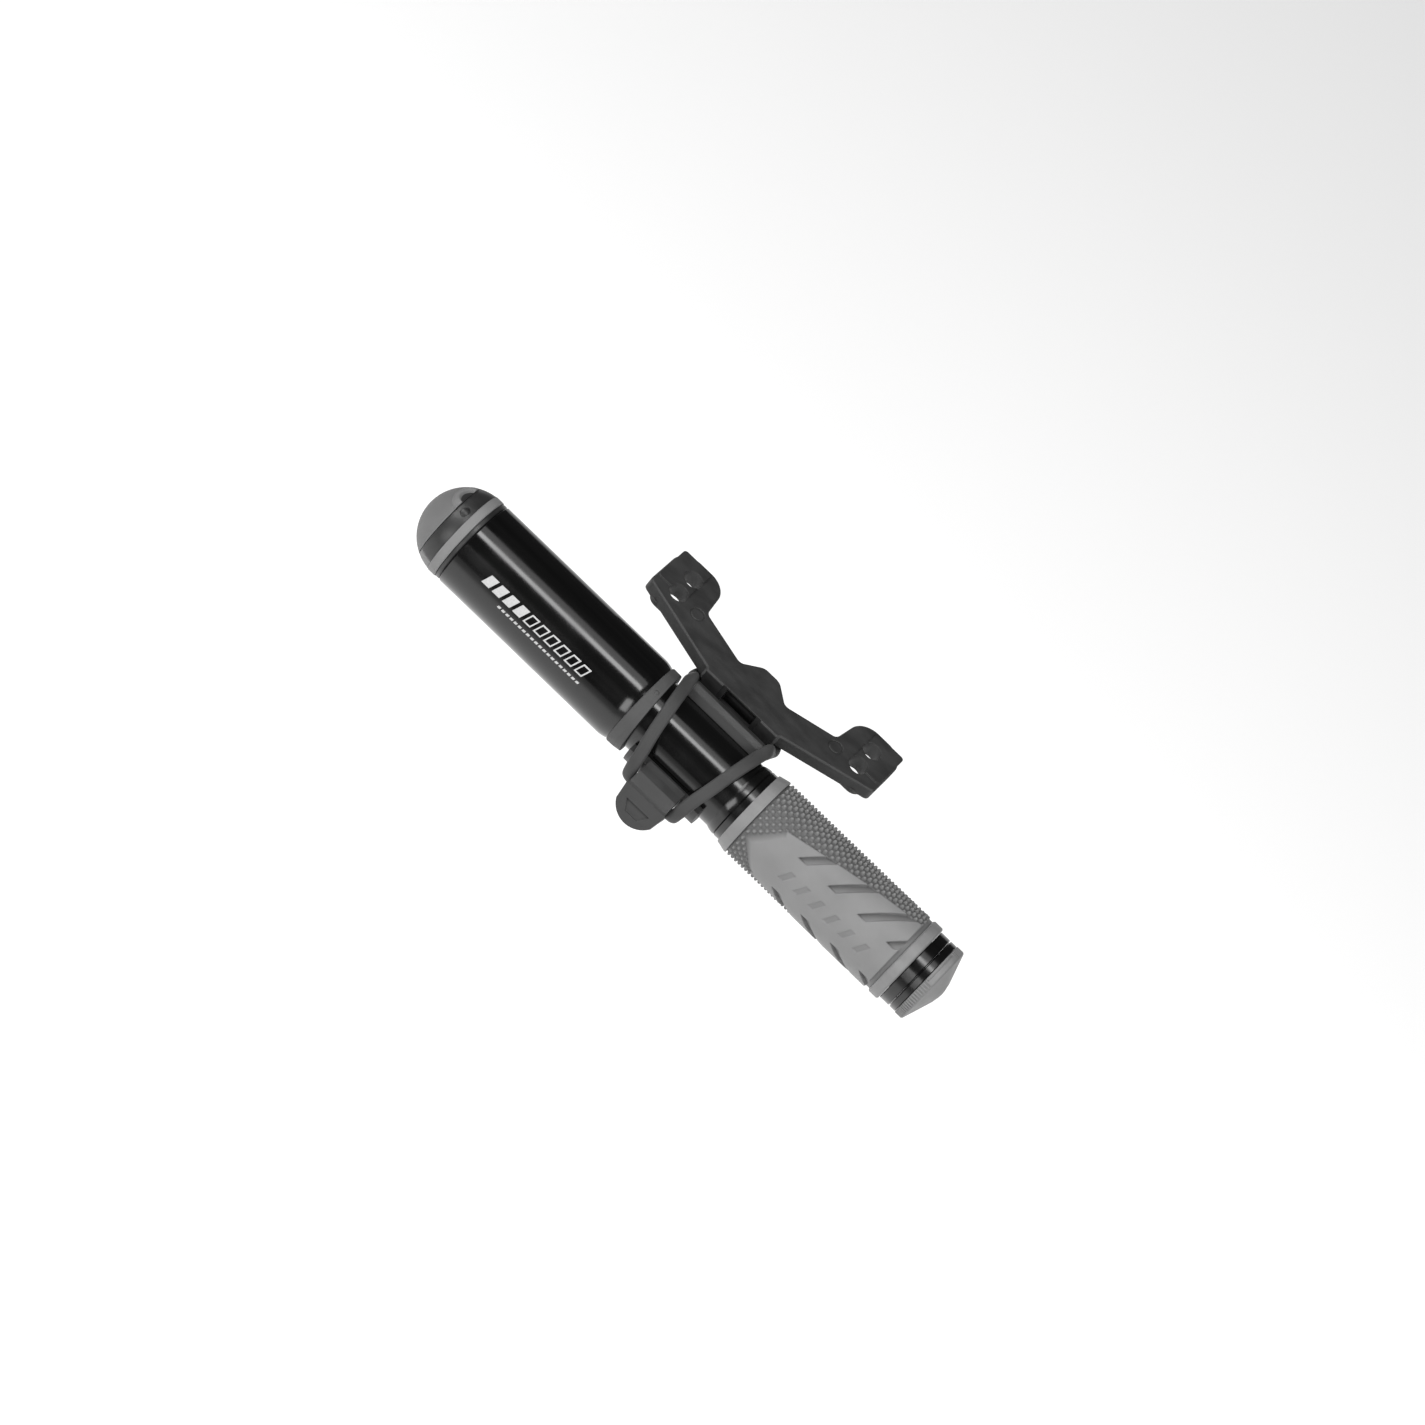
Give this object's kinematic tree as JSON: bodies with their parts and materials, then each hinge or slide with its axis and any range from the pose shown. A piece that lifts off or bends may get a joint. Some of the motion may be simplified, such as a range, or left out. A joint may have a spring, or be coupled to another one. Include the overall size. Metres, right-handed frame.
{
  "type": "mini bicycle pump",
  "caption": "Slim telescoping hand pump with rubber grip and hinged dust cap, held by a C clip and elastic strap on a bottle-boss bracket.",
  "frame": {"origin": "midway between the two boss holes, on the bracket's mounting face", "axes": "+Z out of the frame tube along the boss bolts, +X along the pump towards the end cap, -Y to the pump"},
  "size_m": [0.181, 0.0652, 0.0268],
  "materials": {
    "bracket": "satin",
    "clip": "satin",
    "strap": "matte",
    "barrel": "gloss anodised",
    "neck": "gloss anodised",
    "collar_plastic": "satin",
    "housing_plastic": "satin",
    "grey_rubber": "matte",
    "grip_rubber": "matte",
    "cap_plastic": "satin",
    "chuck_alloy": "satin",
    "seal": "matte",
    "rod_steel": "satin",
    "inner_plastic": "satin"
  },
  "bodies": {
    "bracket": {"bracket_plate": "bracket", "pump_clip": "clip"},
    "strap": {"elastic_strap": "strap"},
    "cylinder": {"cylinder_tube": "neck", "rod_guide": "inner_plastic", "handle_sleeve": "neck", "grip_front_collar": "cap_plastic", "rubber_grip": "grip_rubber", "grip_end_collar": "cap_plastic", "cylinder_plug": "inner_plastic", "plug_o_ring": "seal", "end_ring_inner": "neck"},
    "end_cap": {"end_ring_outer": "neck", "end_cap": "cap_plastic"},
    "barrel": {"barrel_tube": "barrel", "barrel_collar": "collar_plastic", "collar_wiper_ring": "seal", "head_housing": "housing_plastic", "head_lock_ring": "housing_plastic", "dust_cap_ring": "grey_rubber", "dust_cap_tether": "grey_rubber", "chuck_body": "chuck_alloy", "chuck_gasket": "seal", "rod_nut": "rod_steel", "rod_bumper": "seal", "piston_rod": "rod_steel", "piston": "inner_plastic", "piston_o_ring": "seal", "check_valve": "seal"},
    "dust_cap": {"dust_cap_dome": "grey_rubber"},
    "chuck_collar": {"chuck_collar": "chuck_alloy"}
  },
  "joints": [
    {"name": "pump_release", "type": "slide", "parent": "bracket", "child": "cylinder", "axis": [0, -0.5736, 0.8192], "range_m": [0, 0.032], "deforming": ["pump_clip", "elastic_strap"]},
    {"name": "strap_release", "type": "hinge", "parent": "bracket", "child": "strap", "pos_m": [0, -0.0165, -0.0017], "axis": [-1, 0, 0], "range_deg": [0, 125]},
    {"name": "pump_stroke", "type": "slide", "parent": "cylinder", "child": "barrel", "axis": [-1, 0, 0], "range_m": [0, 0.041]},
    {"name": "dust_cap_hinge", "type": "hinge", "parent": "barrel", "child": "dust_cap", "pos_m": [-0.08375, -0.04032, -0.01809], "axis": [0, -0.8746, 0.4848], "range_deg": [0, 115], "deforming": ["dust_cap_tether"]},
    {"name": "chuck_turn", "type": "hinge", "parent": "barrel", "child": "chuck_collar", "pos_m": [-0.083, -0.0345, -0.0076], "axis": [1, 0, 0], "continuous": true},
    {"name": "end_cap_turn", "type": "hinge", "parent": "cylinder", "child": "end_cap", "pos_m": [0.083, -0.0345, -0.0076], "axis": [1, 0, 0], "range_deg": [0, 360]}
  ],
  "couplings": [
    {"joint": "strap_release", "follows": "pump_release", "rad_per_m": 68.109}
  ]
}
